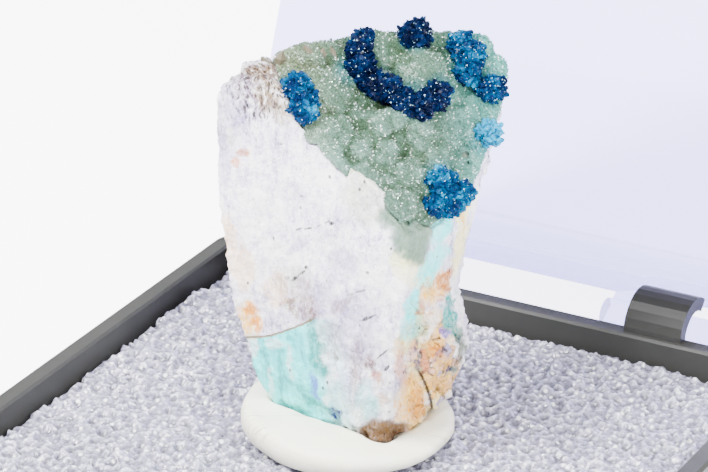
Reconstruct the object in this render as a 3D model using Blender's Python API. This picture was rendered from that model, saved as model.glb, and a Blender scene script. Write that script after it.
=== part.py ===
"""Veszelyite on druse and matrix rock, set in putty on a foam pad in a small hinged specimen box.

The row frame has X along the box's hinge, Y from the front to the hinge and Z up, with its origin under
the middle of the base. The specimen is described in its own directions: right, away and up as a viewer
facing its display side sees them, in millimetres from the middle of the putty on the foam.
"""

import math
import random

import bmesh
import bpy
from mathutils import Matrix, Quaternion, Vector, geometry, noise
from mathutils.bvhtree import BVHTree

MM = 0.001

# Box, in millimetres
BOX_SIDE = 32.0
BOX_HEIGHT = 32.0
WALL = 1.0
FLOOR = 1.2
CORNER = 0.9
RIM_HEIGHT = 8.0
LID_GAP = 0.3
PIECE_GAP = 0.1

# Hinge, in millimetres and degrees
HINGE_Y = 17.1
HINGE_Z = 7.8
PIN_RADIUS = 0.8
HOOK_INNER = 1.15
HOOK_OUTER = 1.8
HOOK_SPAN = (6.9, 9.9)
EAR_THICKNESS = 1.3
EAR_GAP = 0.45
WINDOW_GAP = 0.3
WINDOW_TOP = 10.4
PIN_SIDES = 18
HOOK_OPENS_DEG = 50
# Open this far, the lid's far edge comes down to the surface that the box stands on.
LID_OPEN_DEG = 111.9

# Foam and putty, in millimetres
FOAM_TOP = 7.0
FOAM_BUMP = 0.45
FOAM_BUMP_PITCH = 1.3
FOAM_SPACING = 1.6
PUTTY_RADIUS = 5.05
PUTTY_SPACING = 1.4
PUTTY_SIDES = 32
SEAT_GAP = 0.12

# Specimen, in millimetres and degrees
SPECIMEN_YAW_DEG = 28.7
SPECIMEN_AT = (-0.7, 1.4, FOAM_TOP)
CRUST_THICKNESS = 0.55
AROUND_STEPS = 3
WALL_STEPS = 3
CAP_SPACING = 0.62
ABOVE_ALL = 24.0
BROAD_RELIEF = 0.28
BROAD_PITCH = 1.25
LEDGE_RELIEF = 0.16
LEDGE_PITCH = 0.48
CAP_CENTRES = ((1.3, 1.5, 15.3), (3.2, 4.0, 16.7), (-1.5, 1.0, 17.1), (3.0, 0.0, 13.3))

# Each column of the rock runs from its foot in the putty to its rim: (right, away, up).
ROCK_COLUMNS = (
    # Front ridge
    (
        (1.6, -2.7, 0.6), (1.8, -3.0, 1.7), (1.95, -3.15, 3.4),
        (2.3, -3.4, 6.2), (2.6, -3.5, 9.2), (2.75, -3.5, 11.4),
    ),
    # Right flank, from the ridge to the back corner
    (
        (2.4, -1.7, 0.6), (3.1, -1.7, 1.6), (3.7, -1.2, 3.4),
        (3.6, -1.1, 6.2), (4.1, -1.1, 9.2), (4.15, -1.0, 11.4),
    ),
    (
        (3.4, 0.0, 0.6), (4.6, 0.4, 1.7), (5.3, 1.0, 3.2),
        (4.7, 0.6, 6.2), (5.3, 0.9, 9.4), (5.7, 1.7, 11.9),
    ),
    (
        (3.6, 1.5, 0.7), (5.0, 2.2, 2.0), (5.7, 2.6, 3.2),
        (5.0, 2.0, 6.2), (5.6, 2.2, 9.6), (6.7, 3.9, 13.8),
    ),
    (
        (3.4, 2.6, 0.7), (4.6, 3.6, 1.8), (5.2, 4.2, 3.6),
        (5.2, 4.4, 6.8), (6.0, 4.8, 10.8), (7.5, 5.6, 15.6),
    ),
    # Back
    (
        (2.8, 3.4, 0.7), (3.6, 4.8, 1.8), (4.2, 5.6, 3.8),
        (4.6, 6.2, 7.4), (5.4, 6.6, 12.0), (6.5, 6.7, 17.3),
    ),
    (
        (1.6, 3.6, 0.7), (1.8, 5.0, 1.8), (2.2, 6.0, 3.8),
        (2.4, 6.7, 7.6), (2.6, 6.8, 12.6), (2.9, 6.2, 17.8),
    ),
    (
        (0.4, 3.3, 0.7), (0.2, 4.4, 1.8), (0.2, 5.3, 3.8),
        (0.2, 6.0, 7.6), (0.3, 6.0, 12.8), (0.5, 5.1, 18.0),
    ),
    (
        (-1.0, 2.6, 0.7), (-1.5, 3.3, 1.8), (-1.8, 4.0, 3.8),
        (-2.0, 4.6, 7.6), (-1.9, 4.5, 12.8), (-1.7, 3.2, 18.2),
    ),
    # Left edge
    (
        (-2.4, 1.5, 0.8), (-3.1, 1.7, 1.9), (-3.8, 1.9, 3.8),
        (-4.4, 2.3, 7.6), (-4.7, 2.4, 12.8), (-4.6, 1.5, 17.8),
    ),
    (
        (-2.9, 0.1, 0.9), (-3.9, -0.1, 1.95), (-4.6, 0.0, 4.2),
        (-5.45, 0.2, 7.6), (-5.95, 0.4, 12.6), (-5.95, 0.6, 17.1),
    ),
    # Pale front face, from the left edge back to the ridge
    (
        (-1.9, -0.6, 0.8), (-2.6, -0.8, 1.8), (-3.0, -0.8, 4.0),
        (-3.5, -0.8, 7.4), (-3.8, -0.5, 12.6), (-3.9, -0.25, 17.9),
    ),
    (
        (-0.7, -1.3, 0.7), (-1.0, -1.55, 1.7), (-1.2, -1.7, 3.8),
        (-1.5, -1.75, 7.0), (-1.6, -1.5, 11.4), (-1.7, -1.3, 15.5),
    ),
    (
        (0.3, -1.9, 0.65), (0.2, -2.25, 1.7), (0.2, -2.4, 3.6),
        (0.2, -2.55, 6.6), (0.1, -2.4, 10.6), (0.1, -2.2, 14.2),
    ),
    (
        (1.0, -2.4, 0.6), (1.1, -2.7, 1.7), (1.2, -2.85, 3.5),
        (1.4, -3.1, 6.4), (1.6, -3.15, 9.8), (1.75, -2.95, 13.4),
    ),
)

# The druse's edge, seen from above: (right, away). Where it reaches the rim, it runs on past the rock.
DRUSE_EDGE = (
    (2.75, -4.6),
    (6.5, -2.0),
    (8.5, 2.0),
    (9.5, 7.0),
    (5.0, 8.5),
    (0.0, 7.5),
    (-2.6, 4.2),
    (-3.2, 2.4),
    (-3.1, 0.9),
    (-2.9, 0.0),
    (-2.4, -0.5),
    (-1.9, -1.0),
    (-1.6, -2.6),
    (-0.6, -2.6),
    (0.2, -1.95),
    (1.2, -2.35),
    (1.7, -2.8),
    (1.9, -4.2),
)

# Rounded lumps of the druse: (right, away, radius, height).
DRUSE_LUMPS = (
    (1.4, 0.7, 0.65, 0.45),
    (2.2, 1.4, 0.60, 0.40),
    (0.8, -0.9, 0.60, 0.35),
    (1.9, -0.1, 0.80, 0.45),
    (3.3, 1.5, 1.10, 0.45),
    (4.6, 2.1, 0.90, 0.35),
    (-0.8, -0.8, 1.00, 0.35),
    (-1.2, 0.6, 1.10, 0.40),
    (0.0, 1.5, 0.90, 0.30),
    (3.5, 4.0, 1.20, 0.45),
    (6.0, 3.7, 0.80, 0.30),
    (2.4, -1.4, 0.80, 0.35),
    (7.0, 5.9, 0.60, 0.25),
    (-0.8, 3.0, 0.90, 0.35),
    (2.1, 4.4, 0.90, 0.35),
)

# Each blue crystal group is a chain of tufts: (right, away, radius).
CRYSTAL_GROUPS = {
    "blue_crystals_left": ((-2.2, 0.2, 0.80), (-1.95, -0.3, 0.76)),
    "blue_crystals_arc": (
        (0.65, 4.35, 0.50),
        (0.5, 3.8, 0.72),
        (0.4, 3.15, 0.72),
        (1.1, 3.0, 0.72),
        (1.9, 2.8, 0.72),
        (2.5, 2.15, 0.70),
        (3.3, 2.4, 0.72),
        (3.9, 2.85, 0.76),
    ),
    "blue_crystals_back": ((3.1, 5.4, 0.80),),
    "blue_crystals_corner": ((5.3, 6.15, 0.74), (5.7, 5.75, 0.72), (5.4, 5.2, 0.72)),
    "blue_crystals_right": ((6.6, 5.0, 0.76),),
    "blue_crystals_edge": ((6.3, 3.3, 0.60),),
    "blue_crystals_front": ((4.1, 0.1, 0.76), (4.4, -0.2, 0.84), (5.0, 0.6, 0.62), (3.8, -0.8, 0.52)),
}
CRYSTALS_PER_TUFT = 5
CRYSTAL_WIDTH = 0.80
CRYSTAL_THICKNESS = 0.50
CORE_SHARE = 0.80
LEAST_RISE = 0.35
BLUE_SEAT_GAP = 0.06


def clear_scene():
    for thing in list(bpy.data.objects):
        bpy.data.objects.remove(thing, do_unlink=True)


def finish_material(name, colour, roughness, metallic=0.0, alpha=1.0):
    material = bpy.data.materials.new(name)
    material.use_nodes = True
    shader = material.node_tree.nodes["Principled BSDF"]
    shader.inputs["Base Color"].default_value = (*colour, 1.0)
    shader.inputs["Roughness"].default_value = roughness
    shader.inputs["Metallic"].default_value = metallic
    shader.inputs["Alpha"].default_value = alpha
    return material


def add_object(name, form, material=None):
    """Moves a bmesh in millimetres into a named object in metres."""
    bmesh.ops.recalc_face_normals(form, faces=form.faces)
    bmesh.ops.scale(form, vec=(MM, MM, MM), verts=form.verts)
    mesh = bpy.data.meshes.new(name)
    form.to_mesh(mesh)
    form.free()
    thing = bpy.data.objects.new(name, mesh)
    bpy.context.scene.collection.objects.link(thing)
    if material:
        mesh.materials.append(material)
    return thing


def helper(thing):
    """Marks a cutter or a joined shape, which is no piece of its own."""
    thing.hide_render = True
    thing.display_type = "WIRE"
    return thing


def combine(thing, other, operation, use_self=False):
    modifier = thing.modifiers.new(f"{operation.lower()}_{other.name}", "BOOLEAN")
    modifier.operation = operation
    modifier.solver = "EXACT"
    modifier.object = other
    modifier.use_self = use_self


def ring_form(rings):
    """A closed form from rings of points: quads join each ring to the next and a fan closes each end."""
    form = bmesh.new()
    placed = [[form.verts.new(point) for point in ring] for ring in rings]
    count = len(rings[0])
    for lower, upper in zip(placed, placed[1:]):
        for i in range(count):
            j = (i + 1) % count
            form.faces.new((lower[i], lower[j], upper[j], upper[i]))
    for ring, points in ((placed[0], rings[0]), (placed[-1], rings[-1])):
        centre = form.verts.new(sum((Vector(p) for p in points), Vector()) / count)
        for i in range(count):
            form.faces.new((ring[i], ring[(i + 1) % count], centre))
    return form


def rounded_square(half, radius, height, steps=4):
    points = []
    for quarter in range(4):
        across = half - radius if quarter in (0, 3) else radius - half
        along = half - radius if quarter in (0, 1) else radius - half
        for step in range(steps + 1):
            angle = math.radians(90 * quarter + 90 * step / steps)
            points.append((across + radius * math.cos(angle), along + radius * math.sin(angle), height))
    return points


def profile_form(outline, start, end):
    """A form whose outline is (y, z) points, drawn out along X."""
    form = bmesh.new()
    face = form.faces.new([form.verts.new((start, y, z)) for y, z in outline])
    drawn = bmesh.ops.extrude_face_region(form, geom=[face])
    moved = [part for part in drawn["geom"] if isinstance(part, bmesh.types.BMVert)]
    bmesh.ops.translate(form, vec=(end - start, 0, 0), verts=moved)
    return form


def arc_about_hinge(radius, start_deg, end_deg, steps):
    angles = [math.radians(start_deg + (end_deg - start_deg) * i / steps) for i in range(steps + 1)]
    return [(HINGE_Y + radius * math.cos(a), HINGE_Z + radius * math.sin(a)) for a in angles]


def hook_outline():
    """The base's hook rises out of the back wall and curls back over the lid's pin."""
    foot = HINGE_Z - 1.0
    front = HINGE_Y - HOOK_OUTER
    back = HINGE_Y - HOOK_INNER
    outer = arc_about_hinge(HOOK_OUTER, 180, HOOK_OPENS_DEG, 9)
    inner = arc_about_hinge(HOOK_INNER, HOOK_OPENS_DEG, 180, 7)
    return [(front, foot), *outer, *inner, (back, foot)]


def ear_outline():
    """An ear joins the lid's pin to the mouth of its hinge wall."""
    inside = BOX_SIDE / 2 - 0.6
    outside = BOX_SIDE / 2
    low = RIM_HEIGHT + LID_GAP + 0.6
    tangent = arc_about_hinge(PIN_RADIUS - 0.1, 60, -60, 4)
    return [(inside, low), (inside, low + 2.2), (outside, low + 2.2), *tangent, (HINGE_Y - 0.6, HINGE_Z + 0.3)]


def make_base(material):
    half = BOX_SIDE / 2
    inner = half - WALL
    rings = [
        rounded_square(half - 0.3, CORNER - 0.3, 0.0),
        rounded_square(half, CORNER, 0.3),
        rounded_square(half, CORNER, RIM_HEIGHT - 0.15),
        rounded_square(half - 0.15, CORNER - 0.15, RIM_HEIGHT),
        rounded_square(inner + 0.12, CORNER - 0.4, RIM_HEIGHT),
        rounded_square(inner, CORNER - 0.5, RIM_HEIGHT - 0.12),
        rounded_square(inner, CORNER - 0.5, FLOOR),
    ]
    base = add_object("box_base", ring_form(rings), material)
    for side in (-1, 1):
        name = "left" if side < 0 else "right"
        hook = profile_form(hook_outline(), *sorted(side * x for x in HOOK_SPAN))
        combine(base, helper(add_object(f"hook_{name}", hook)), "UNION")
    return base


def about_hinge(form):
    bmesh.ops.translate(form, vec=(0, -HINGE_Y, -HINGE_Z), verts=form.verts)
    return form


def make_lid(material):
    """The clear lid is drawn shut, then turned open about its pins."""
    half = BOX_SIDE / 2
    inner = half - WALL
    mouth = RIM_HEIGHT + LID_GAP
    ceiling = BOX_HEIGHT - WALL
    rings = [
        rounded_square(inner - 0.4, CORNER - 0.5, ceiling),
        rounded_square(inner, CORNER - 0.3, ceiling - 0.4),
        rounded_square(inner, CORNER - 0.3, mouth),
        rounded_square(half, CORNER, mouth),
        rounded_square(half, CORNER, BOX_HEIGHT - 0.7),
        rounded_square(half - 0.2, CORNER, BOX_HEIGHT - 0.2),
        rounded_square(half - 0.7, CORNER, BOX_HEIGHT),
    ]
    lid = add_object("box_lid", about_hinge(ring_form(rings)), material)
    hook_start, hook_end = HOOK_SPAN
    for side in (-1, 1):
        name = "left" if side < 0 else "right"
        near, far = hook_start - EAR_GAP, hook_end + EAR_GAP
        inside, outside, below = inner - 1, half + 1, mouth - 1
        window_outline = [(inside, below), (outside, below), (outside, WINDOW_TOP), (inside, WINDOW_TOP)]
        window_span = sorted((side * (hook_start - WINDOW_GAP), side * (hook_end + WINDOW_GAP)))
        window = profile_form(window_outline, *window_span)
        combine(lid, helper(add_object(f"window_{name}", about_hinge(window))), "DIFFERENCE")
        pin_span = sorted((side * (near - EAR_THICKNESS), side * (far + EAR_THICKNESS)))
        pin_outline = arc_about_hinge(PIN_RADIUS, 0, 360 - 360 / PIN_SIDES, PIN_SIDES - 1)
        pin = profile_form(pin_outline, *pin_span)
        combine(lid, helper(add_object(f"pin_{name}", about_hinge(pin))), "UNION")
        for place, start, end in (("inner", near, near - EAR_THICKNESS), ("outer", far, far + EAR_THICKNESS)):
            # Each ear stops just short of the pin's end, so their end faces don't coincide.
            span = sorted((side * start, side * (end - math.copysign(0.05, end - start))))
            ear = profile_form(ear_outline(), *span)
            combine(lid, helper(add_object(f"ear_{name}_{place}", about_hinge(ear))), "UNION")
    for thing in [lid, *(modifier.object for modifier in lid.modifiers)]:
        thing.location = (0, HINGE_Y * MM, HINGE_Z * MM)
        thing.rotation_euler = (-math.radians(LID_OPEN_DEG), 0, 0)
    return lid


def specimen_frame():
    turn = Matrix.Rotation(math.radians(SPECIMEN_YAW_DEG), 4, "Z")
    return Matrix.Translation(Vector(SPECIMEN_AT) * MM) @ turn


def set_in_putty(thing):
    thing.matrix_world = specimen_frame()
    return thing


def inside_points(ring, spacing):
    """Points of a triangular grid inside a ring seen from above, clear of its edge."""
    outline = [Vector((point.x, point.y)) for point in ring]
    low = Vector((min(p.x for p in outline), min(p.y for p in outline)))
    high = Vector((max(p.x for p in outline), max(p.y for p in outline)))
    found = []
    row = 0
    y = low.y
    while y < high.y:
        x = low.x + (0.5 * spacing if row % 2 else 0.0)
        while x < high.x:
            shift = 0.25 * spacing * Vector((noise.noise((x, y, 1.5)), noise.noise((x, y, 7.5))))
            point = Vector((x, y)) + shift
            if clear_of_edge(point, outline, 0.55 * spacing):
                found.append(point)
            x += spacing
        y += spacing * math.sqrt(0.75)
        row += 1
    return found


def clear_of_edge(point, outline, distance):
    crossings = 0
    for start, end in zip(outline, [*outline[1:], outline[0]]):
        nearest, share = geometry.intersect_point_line(point, start, end)
        if (point - start.lerp(end, min(1.0, max(0.0, share)))).length < distance:
            return False
        if (start.y > point.y) != (end.y > point.y):
            crossings += point.x < start.x + (point.y - start.y) * (end.x - start.x) / (end.y - start.y)
    return crossings % 2 == 1


def surfaced_form(rings, spacing, height):
    """A closed form of rings whose top is a fine triangular grid at the height that a function gives."""
    form = bmesh.new()
    placed = [[form.verts.new(point) for point in ring] for ring in rings]
    count = len(rings[0])
    for lower, upper in zip(placed, placed[1:]):
        for i in range(count):
            j = (i + 1) % count
            form.faces.new((lower[i], lower[j], upper[j], upper[i]))
    bottom = form.verts.new(sum((Vector(point) for point in rings[0]), Vector()) / count)
    for i in range(count):
        form.faces.new((placed[0][(i + 1) % count], placed[0][i], bottom))
    rim = placed[-1]
    inner = inside_points([vertex.co for vertex in rim], spacing)
    flat = [Vector((vertex.co.x, vertex.co.y)) for vertex in rim] + inner
    filled = geometry.delaunay_2d_cdt(flat, [], [list(range(count))], 1, 1e-5)
    triangles, sources = filled[2], filled[3]
    top = rim + [form.verts.new((point.x, point.y, height(point))) for point in inner]
    for triangle in triangles:
        form.faces.new([top[sources[i][0]] for i in triangle])
    return form


def make_foam(material):
    """A cut foam pad: its sides are flat, and its open cells leave a lumpy top, pressed flat under the putty."""
    half = BOX_SIDE / 2 - WALL - 0.3
    bottom = FLOOR + PIECE_GAP
    corners = [(-half, -half), (half, -half), (half, half), (-half, half)]
    edge = spread_ring([(*corner, 0.0) for corner in corners], round(2 * half / FOAM_SPACING))
    putty = Vector(SPECIMEN_AT[:2])

    def height(point):
        open_share = min(1.0, max(0.0, (Vector(point[:2]) - putty).length - PUTTY_RADIUS - 0.6))
        bump = noise.noise((point[0] / FOAM_BUMP_PITCH, point[1] / FOAM_BUMP_PITCH, 0.5))
        return FOAM_TOP - PIECE_GAP + open_share * FOAM_BUMP * bump

    rings = [[(p.x, p.y, bottom) for p in edge], [(p.x, p.y, height(p) - 0.2) for p in edge]]
    return add_object("foam_pad", surfaced_form(rings, FOAM_SPACING, height), material)


def spread_ring(points, steps):
    """Points along a closed ring, with straight runs between its corners."""
    spread = []
    for here, there in zip(points, [*points[1:], points[0]]):
        spread += [Vector(here).lerp(Vector(there), i / steps) for i in range(steps)]
    return spread


def lump_height(point):
    """How far the druse stands out at a point, as the highest of its rounded lumps."""
    height = 0.0
    for right, away, radius, rise in DRUSE_LUMPS:
        reach = ((point[0] - right) ** 2 + (point[1] - away) ** 2) / radius**2
        height = max(height, rise * math.exp(-reach))
    return height


def cap_height(point):
    """The top surface, drawn over the rim's points and a few inside it, with the druse's lumps."""
    total, weights = 0.0, 0.0
    for right, away, up in [*(column[-1] for column in ROCK_COLUMNS), *CAP_CENTRES]:
        weight = 1 / (0.05 + (point[0] - right) ** 2 + (point[1] - away) ** 2) ** 1.5
        total += weight * up
        weights += weight
    return total / weights + lump_height(point) + 0.10 * noise.noise((point[0] * 1.9, point[1] * 1.9, 4.0))


def rock_form(grown=0.0):
    """The whole stone with its druse, and how much it is grown outwards all over."""
    corner_rings = [[column[level] for column in ROCK_COLUMNS] for level in range(len(ROCK_COLUMNS[0]))]
    levels = [spread_ring(ring, AROUND_STEPS) for ring in corner_rings]
    rings = []
    for lower, upper in zip(levels, levels[1:]):
        for step in range(WALL_STEPS):
            rings.append([a.lerp(b, step / WALL_STEPS) for a, b in zip(lower, upper)])
    rings.append(levels[-1])
    form = surfaced_form(rings, CAP_SPACING, cap_height)
    bmesh.ops.recalc_face_normals(form, faces=form.faces)
    form.normal_update()
    wall_count = len(rings) * len(rings[0])
    moves = []
    for vertex in form.verts:
        broken = 0.0
        if vertex.index < wall_count:
            broken = BROAD_RELIEF * noise.noise(vertex.co / BROAD_PITCH)
            broken += LEDGE_RELIEF * noise.noise(vertex.co / LEDGE_PITCH)
        moves.append(vertex.normal * (broken + grown))
    for vertex, move in zip(form.verts, moves):
        vertex.co += move
    return form


def druse_block(lowered):
    """The space above the druse's underside, inside its edge."""
    edge = spread_ring([(*point, 0.0) for point in DRUSE_EDGE], 2)
    rings = [[(p.x, p.y, ABOVE_ALL) for p in edge], [(p.x, p.y, cap_height(p) - lowered) for p in edge]]
    return surfaced_form(rings, 2 * CAP_SPACING, lambda point: cap_height(point) - lowered)


def make_rock(material):
    """The pale matrix, recessed where the druse has grown on it."""
    rock = set_in_putty(add_object("matrix_rock", rock_form(), material))
    recess = helper(add_object("druse_recess", druse_block(CRUST_THICKNESS + PIECE_GAP)))
    combine(rock, set_in_putty(recess), "DIFFERENCE")
    return rock


def make_druse(material):
    """The green druse over the stone's top, in one crust."""
    druse = set_in_putty(add_object("green_druse", rock_form(), material))
    extent = helper(add_object("druse_extent", druse_block(CRUST_THICKNESS)))
    combine(druse, set_in_putty(extent), "INTERSECT")
    return druse


def add_crystal(form, seat, direction, spin, length):
    """A tabular crystal with a chisel end, standing along a direction."""
    half_width = 0.5 * CRYSTAL_WIDTH * length
    half_depth = 0.5 * CRYSTAL_THICKNESS * length
    corners = [(x * half_width, y * half_depth) for x, y in ((-1, -1), (1, -1), (1, 1), (-1, 1))]
    turn = direction.to_track_quat("Z", "Y") @ Quaternion((0, 0, 1), spin)
    base = [form.verts.new(seat + turn @ Vector((x, y, -0.1 * length))) for x, y in corners]
    shoulder = [form.verts.new(seat + turn @ Vector((x, y, 0.7 * length))) for x, y in corners]
    ridge = [form.verts.new(seat + turn @ Vector((x, 0, length))) for x in (-0.5 * half_width, 0.5 * half_width)]
    form.faces.new(base[::-1])
    for i in range(4):
        j = (i + 1) % 4
        form.faces.new((base[i], base[j], shoulder[j], shoulder[i]))
    form.faces.new((shoulder[0], shoulder[1], ridge[1], ridge[0]))
    form.faces.new((shoulder[2], shoulder[3], ridge[0], ridge[1]))
    form.faces.new((shoulder[1], shoulder[2], ridge[1]))
    form.faces.new((shoulder[3], shoulder[0], ridge[0]))


def make_crystal_group(name, tufts, surface, material):
    """Tufts of crystals grown together: every crystal leans out of its tuft's seat on the druse."""
    chance = random.Random(name)
    form = bmesh.new()
    cores = bmesh.new()
    for right, away, radius in tufts:
        seat, normal = surface.ray_cast(Vector((right, away, ABOVE_ALL)), Vector((0, 0, -1)))[:2]
        seat = seat + normal * 0.25 * radius
        placed = Matrix.Translation(seat) @ Matrix.Rotation(chance.uniform(0, math.pi), 4, "Z")
        bmesh.ops.create_icosphere(cores, subdivisions=1, radius=CORE_SHARE * radius, matrix=placed)
        for i in range(CRYSTALS_PER_TUFT):
            rise = 1 - (1 - LEAST_RISE) * i / (CRYSTALS_PER_TUFT - 1)
            turn = math.radians(137.5) * i + chance.uniform(-0.3, 0.3)
            lean = math.sqrt(1 - rise**2)
            outwards = Vector((lean * math.cos(turn), lean * math.sin(turn), rise))
            direction = Vector((0, 0, 1)).rotation_difference(normal) @ outwards
            length = radius * chance.uniform(0.85, 1.15)
            add_crystal(form, seat, direction, chance.uniform(0, math.pi), length)
    group = set_in_putty(add_object(name, form, material))
    core = set_in_putty(helper(add_object(f"{name}_cores", cores)))
    stone = set_in_putty(helper(add_object(f"{name}_seat", rock_form(BLUE_SEAT_GAP))))
    combine(group, core, "UNION", use_self=True)
    combine(group, stone, "DIFFERENCE")
    return group


def make_putty(material):
    """The pat of mounting putty, higher at the left, with the stone's foot pressed into it."""

    def top(point):
        lip = 0.35 * max(0.0, point[0] - 3.6)
        return 1.25 - 0.12 * point[0] + lip + 0.10 * noise.noise((0.5 * point[0], 0.5 * point[1], 2.0))

    rings = []
    for inset, share in ((0.5, 0.02), (0.1, 0.3), (0.0, 0.6), (0.2, 0.87)):
        radius = PUTTY_RADIUS - inset
        angles = [2 * math.pi * i / PUTTY_SIDES for i in range(PUTTY_SIDES)]
        ring = [(radius * math.cos(angle), radius * math.sin(angle)) for angle in angles]
        rings.append([(*point, share * top(point)) for point in ring])
    form = surfaced_form(rings, PUTTY_SPACING, top)
    putty = set_in_putty(add_object("putty", form, material))
    seat = set_in_putty(helper(add_object("putty_seat", rock_form(SEAT_GAP))))
    combine(putty, seat, "DIFFERENCE")
    return putty


def main():
    clear_scene()
    clear_plastic = finish_material("clear_plastic", (0.90, 0.91, 0.95), 0.05, alpha=0.3)
    dark_plastic = finish_material("dark_plastic", (0.055, 0.055, 0.055), 0.35)
    white_foam = finish_material("white_foam", (0.86, 0.86, 0.90), 0.5)
    cream_putty = finish_material("cream_putty", (0.86, 0.84, 0.76), 0.6)
    pale_rock = finish_material("pale_rock", (0.83, 0.80, 0.78), 0.6)
    druse_green = finish_material("druse_green", (0.30, 0.40, 0.32), 0.4)
    crystal_blue = finish_material("crystal_blue", (0.01, 0.12, 0.36), 0.15)
    make_base(dark_plastic)
    make_lid(clear_plastic)
    make_foam(white_foam)
    make_putty(cream_putty)
    make_rock(pale_rock)
    make_druse(druse_green)
    surface = BVHTree.FromBMesh(rock_form())
    for name, tufts in CRYSTAL_GROUPS.items():
        make_crystal_group(name, tufts, surface, crystal_blue)


main()
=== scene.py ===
"""The looks of a veszelyite specimen in its small hinged box."""

import math

import bmesh
import bpy
import numpy
from mathutils import Matrix, Vector, noise


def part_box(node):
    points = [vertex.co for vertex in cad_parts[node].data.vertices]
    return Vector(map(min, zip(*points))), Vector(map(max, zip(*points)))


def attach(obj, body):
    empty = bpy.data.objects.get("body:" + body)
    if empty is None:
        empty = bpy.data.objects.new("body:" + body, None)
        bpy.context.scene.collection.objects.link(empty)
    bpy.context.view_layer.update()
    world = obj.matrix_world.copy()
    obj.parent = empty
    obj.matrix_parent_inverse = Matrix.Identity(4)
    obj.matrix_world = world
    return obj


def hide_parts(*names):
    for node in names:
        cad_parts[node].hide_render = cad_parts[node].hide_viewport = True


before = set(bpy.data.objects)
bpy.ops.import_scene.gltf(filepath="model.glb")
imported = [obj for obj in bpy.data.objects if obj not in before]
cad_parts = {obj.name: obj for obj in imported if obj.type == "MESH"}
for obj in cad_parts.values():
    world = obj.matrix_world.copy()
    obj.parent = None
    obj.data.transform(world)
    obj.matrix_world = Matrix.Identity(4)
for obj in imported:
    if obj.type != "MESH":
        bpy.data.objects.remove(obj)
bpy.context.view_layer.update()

bl_info = {
    "name": "Veszelyite Specimen",
    "version": (1, 0, 0),
    "blender": (4, 5, 0),
    "location": "View3D > Sidebar > Specimen",
    "description": "Dresses a boxed veszelyite specimen: stone, druse, blue crystals, putty, foam and box",
    "category": "Add Mesh",
}

MM = 0.001

# The specimen's own directions: right, away and up as its display side is faced, in millimetres from
# the middle of its putty.
SPECIMEN_TURN = math.radians(28.7)
SPECIMEN_AT = Vector((-0.7, 1.4, 7.0))

# The display side is faced from above by this much, and marks on it are placed as they are seen there.
FACING_DOWN = math.radians(24.57)


def paint(red, green, blue):
    """A colour as it is seen on a screen, 0 to 255, as linear light."""
    light = []
    for part in (red, green, blue):
        share = part / 255
        light.append(share / 12.92 if share <= 0.04045 else ((share + 0.055) / 1.055) ** 2.4)
    return (*light, 1.0)


WHITE_ROCK = paint(250, 250, 252)
ROCK_SHADE = paint(140, 132, 168)
LILAC_GREY = paint(160, 149, 192)
AQUA_PALE = paint(104, 244, 244)
AQUA = paint(52, 228, 228)
TURQUOISE = paint(8, 146, 138)
ORANGE = paint(222, 132, 12)
PEACH = paint(250, 190, 56)
YELLOW = paint(206, 156, 14)
PINK_BROWN = paint(116, 80, 74)
BROWN = paint(98, 66, 22)
DARK_BROWN = paint(44, 27, 14)
BLACK = paint(22, 22, 26)
BEIGE = paint(130, 106, 66)
CREAM = paint(249, 244, 172)
CREAM_GREY = paint(170, 180, 136)
OLIVE = paint(80, 98, 62)
TAIL_GREEN = paint(92, 120, 100)
GOLD = paint(132, 96, 30)
AZURITE = paint(10, 24, 98)
AZURITE_PALE = paint(84, 60, 206)
RUST = paint(184, 100, 8)
DARK_GREEN = paint(12, 66, 60)

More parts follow.
